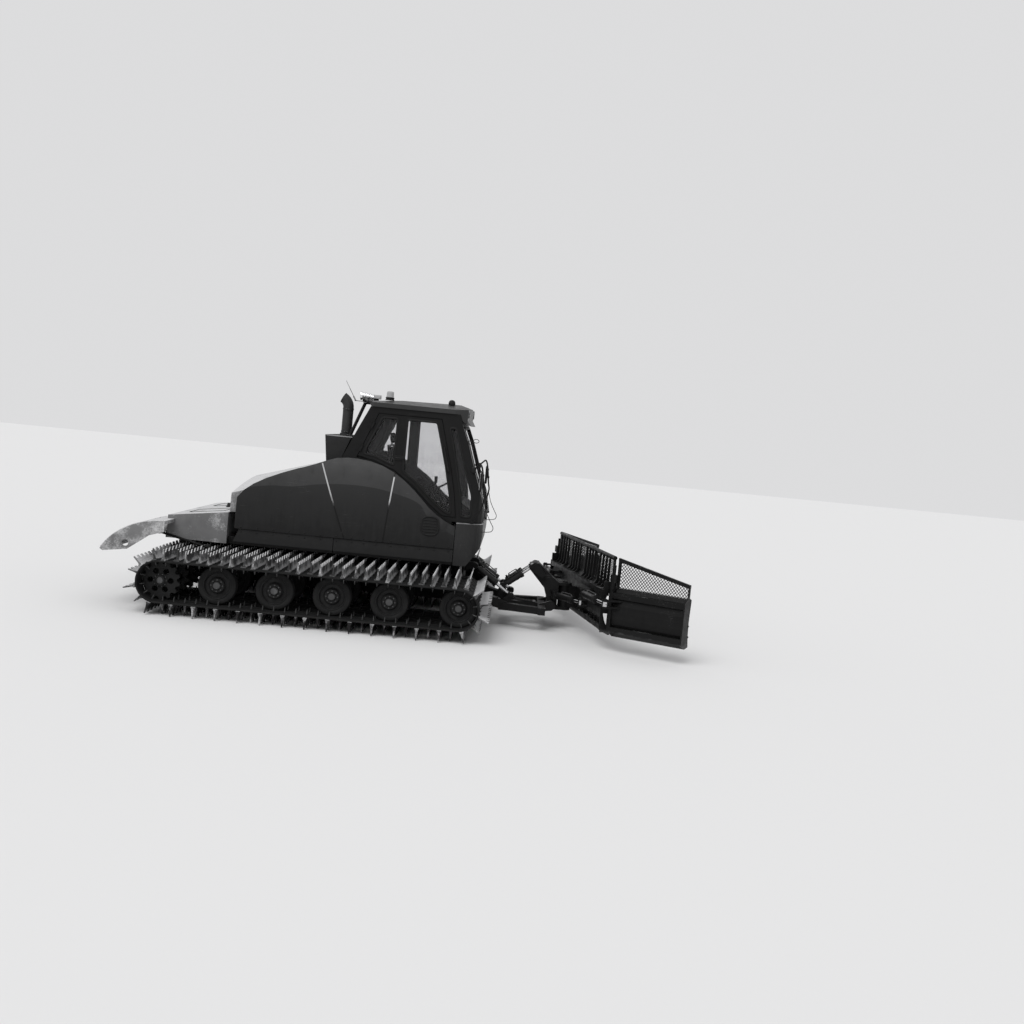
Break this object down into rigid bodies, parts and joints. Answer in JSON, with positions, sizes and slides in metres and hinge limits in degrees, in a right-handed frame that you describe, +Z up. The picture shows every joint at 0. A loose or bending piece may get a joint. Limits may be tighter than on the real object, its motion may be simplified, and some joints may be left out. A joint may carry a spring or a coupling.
{
  "type": "snow groomer",
  "caption": "Tracked snow groomer with a hollow cab, domed engine hood, exhaust stack and a front blade with folding grilled wings.",
  "frame": {"origin": "on the ground under the centre of the whole bounding box; the middle plane of the machine lies at y = -0.184 m, because the angled blade reaches further out on the left", "axes": "+X forward, towards the blade; +Y to the left; +Z up"},
  "size_m": [7.5857, 4.6498, 3.184],
  "materials": {
    "body_paint": "satin",
    "body_dark": "satin",
    "frosted_panel": "matte",
    "frame_black": "matte",
    "track_rubber": "matte",
    "wheel_rubber": "matte",
    "steel": "satin",
    "blade_black": "matte",
    "glass": "gloss",
    "engine_iron": "matte",
    "seat_fabric": "matte",
    "plastic_black": "matte",
    "lamp": "gloss",
    "rod_chrome": "polished"
  },
  "bodies": {
    "machine": {"chassis": "frame_black", "engine": "engine_iron", "track_left": "track_rubber", "track_right": "track_rubber", "road_wheels": "wheel_rubber", "sprockets": "steel", "axles": "steel", "side_sills": "body_dark", "side_panels": "body_paint", "nose_panel": "body_paint", "rear_deck": "frosted_panel", "rear_fenders": "body_paint", "air_intake": "body_dark", "exhaust": "frame_black", "cab_shell": "body_dark", "cab_roof": "body_paint", "cab_glass": "glass", "seats": "seat_fabric", "console": "plastic_black", "lamps": "lamp", "beacon": "lamp", "mirrors": "plastic_black", "antenna": "plastic_black"},
    "hood": {"hood": "frosted_panel"},
    "door_left": {"door_left": "body_dark", "door_glass_left": "glass"},
    "door_right": {"door_right": "body_dark", "door_glass_right": "glass"},
    "push_frame": {"push_frame": "frame_black"},
    "lift_barrel": {"lift_barrels": "frame_black"},
    "lift_rod": {"lift_rods": "rod_chrome"},
    "tower": {"tower": "blade_black"},
    "pitch_barrel": {"pitch_barrels": "frame_black"},
    "pitch_rod": {"pitch_rods": "rod_chrome"},
    "blade": {"blade": "blade_black", "blade_grille": "blade_black"},
    "angle_barrel_left": {"angle_barrel_left": "frame_black"},
    "angle_rod_left": {"angle_rod_left": "rod_chrome"},
    "angle_barrel_right": {"angle_barrel_right": "frame_black"},
    "angle_rod_right": {"angle_rod_right": "rod_chrome"},
    "wing_left": {"wing_left": "blade_black", "wing_grille_left": "blade_black"},
    "wing_right": {"wing_right": "blade_black", "wing_grille_right": "blade_black"},
    "wing_barrel_left": {"wing_barrel_left": "frame_black"},
    "wing_rod_left": {"wing_rod_left": "rod_chrome"},
    "wing_barrel_right": {"wing_barrel_right": "frame_black"},
    "wing_rod_right": {"wing_rod_right": "rod_chrome"}
  },
  "joints": [
    {"name": "hood_hinge", "type": "hinge", "parent": "machine", "child": "hood", "pos_m": [-1.179, -0.1843, 2.01], "axis": [0, 1, 0], "range_deg": [0, 40]},
    {"name": "door_hinge_left", "type": "hinge", "parent": "machine", "child": "door_left", "pos_m": [-0.7, 0.83661, 2.182], "axis": [0.3715, -0.0727, 0.9256], "range_deg": [0, 75]},
    {"name": "door_hinge_right", "type": "hinge", "parent": "machine", "child": "door_right", "pos_m": [-0.7, -1.20521, 2.182], "axis": [-0.3715, -0.0727, -0.9256], "range_deg": [0, 75]},
    {"name": "blade_lift", "type": "hinge", "parent": "machine", "child": "push_frame", "pos_m": [0.715, -0.1843, 0.47], "axis": [0, -1, 0], "range_deg": [-8, 28]},
    {"name": "lift_trunnion", "type": "hinge", "parent": "machine", "child": "lift_barrel", "pos_m": [0.98, -0.1843, 0.8], "axis": [0, -1, 0], "range_deg": [-9.62, 33.53]},
    {"name": "lift_stroke", "type": "slide", "parent": "lift_barrel", "child": "lift_rod", "axis": [0.8205, 0, -0.5716], "range_m": [-0.19601, 0.05615]},
    {"name": "blade_pitch", "type": "hinge", "parent": "push_frame", "child": "tower", "pos_m": [2.085, -0.1843, 0.33], "axis": [0, -1, 0], "range_deg": [-10, 10]},
    {"name": "pitch_trunnion", "type": "hinge", "parent": "push_frame", "child": "pitch_barrel", "pos_m": [1.39, -0.1843, 0.543], "axis": [0, -1, 0], "range_deg": [-1.68, 1.68]},
    {"name": "pitch_stroke", "type": "slide", "parent": "pitch_barrel", "child": "pitch_rod", "axis": [0.7928, 0, 0.6095], "range_m": [-0.10428, 0.10428]},
    {"name": "blade_turn", "type": "hinge", "parent": "tower", "child": "blade", "pos_m": [2.275, -0.1843, 0.46], "axis": [0, 0, 1], "range_deg": [-36, 14]},
    {"name": "angle_trunnion_left", "type": "hinge", "parent": "tower", "child": "angle_barrel_left", "pos_m": [2.135, 0.0107, 0.48], "axis": [0, 0, 1], "range_deg": [-44.14, 17.2]},
    {"name": "angle_stroke_left", "type": "slide", "parent": "angle_barrel_left", "child": "angle_rod_left", "axis": [0.1168, 0.9932, 0], "range_m": [-0.04597, 0.11791]},
    {"name": "angle_trunnion_right", "type": "hinge", "parent": "tower", "child": "angle_barrel_right", "pos_m": [2.135, -0.3793, 0.48], "axis": [0, 0, 1], "range_deg": [-44.05, 17.16]},
    {"name": "angle_stroke_right", "type": "slide", "parent": "angle_barrel_right", "child": "angle_rod_right", "axis": [0.5578, -0.83, 0], "range_m": [-0.1167, 0.04551]},
    {"name": "wing_fold_left", "type": "hinge", "parent": "blade", "child": "wing_left", "pos_m": [2.2053, 1.4321, 0.5], "axis": [0, 0, -1], "range_deg": [-60, 10]},
    {"name": "wing_trunnion_left", "type": "hinge", "parent": "blade", "child": "wing_barrel_left", "pos_m": [2.10846, 0.75111, 0.64], "axis": [0, 0, -1], "range_deg": [-9.07, 1.55]},
    {"name": "wing_stroke_left", "type": "slide", "parent": "wing_barrel_left", "child": "wing_rod_left", "axis": [-0.0973, 0.9953, 0], "range_m": [-0.22228, 0.03721]},
    {"name": "wing_fold_right", "type": "hinge", "parent": "blade", "child": "wing_right", "pos_m": [2.81588, -1.70911, 0.5], "axis": [0, 0, 1], "range_deg": [-60, 10]},
    {"name": "wing_trunnion_right", "type": "hinge", "parent": "blade", "child": "wing_barrel_right", "pos_m": [2.47099, -1.11398, 0.64], "axis": [0, 0, 1], "range_deg": [-9.07, 1.55]},
    {"name": "wing_stroke_right", "type": "slide", "parent": "wing_barrel_right", "child": "wing_rod_right", "axis": [0.2826, -0.9592, 0], "range_m": [-0.22228, 0.03721]}
  ],
  "couplings": [
    {"joint": "lift_trunnion", "follows": "blade_lift", "ratio": 1.1958},
    {"joint": "lift_stroke", "follows": "blade_lift", "m_per_rad": -0.40069},
    {"joint": "pitch_trunnion", "follows": "blade_pitch", "ratio": 0.16256},
    {"joint": "pitch_stroke", "follows": "blade_pitch", "m_per_rad": -0.59634},
    {"joint": "angle_trunnion_left", "follows": "blade_turn", "ratio": 1.2246},
    {"joint": "angle_stroke_left", "follows": "blade_turn", "m_per_rad": -0.18734},
    {"joint": "angle_trunnion_right", "follows": "blade_turn", "ratio": 1.2223},
    {"joint": "angle_stroke_right", "follows": "blade_turn", "m_per_rad": 0.18542},
    {"joint": "wing_trunnion_left", "follows": "wing_fold_left", "ratio": 0.1504},
    {"joint": "wing_stroke_left", "follows": "wing_fold_left", "m_per_rad": 0.21207},
    {"joint": "wing_trunnion_right", "follows": "wing_fold_right", "ratio": 0.1504},
    {"joint": "wing_stroke_right", "follows": "wing_fold_right", "m_per_rad": 0.21207}
  ]
}
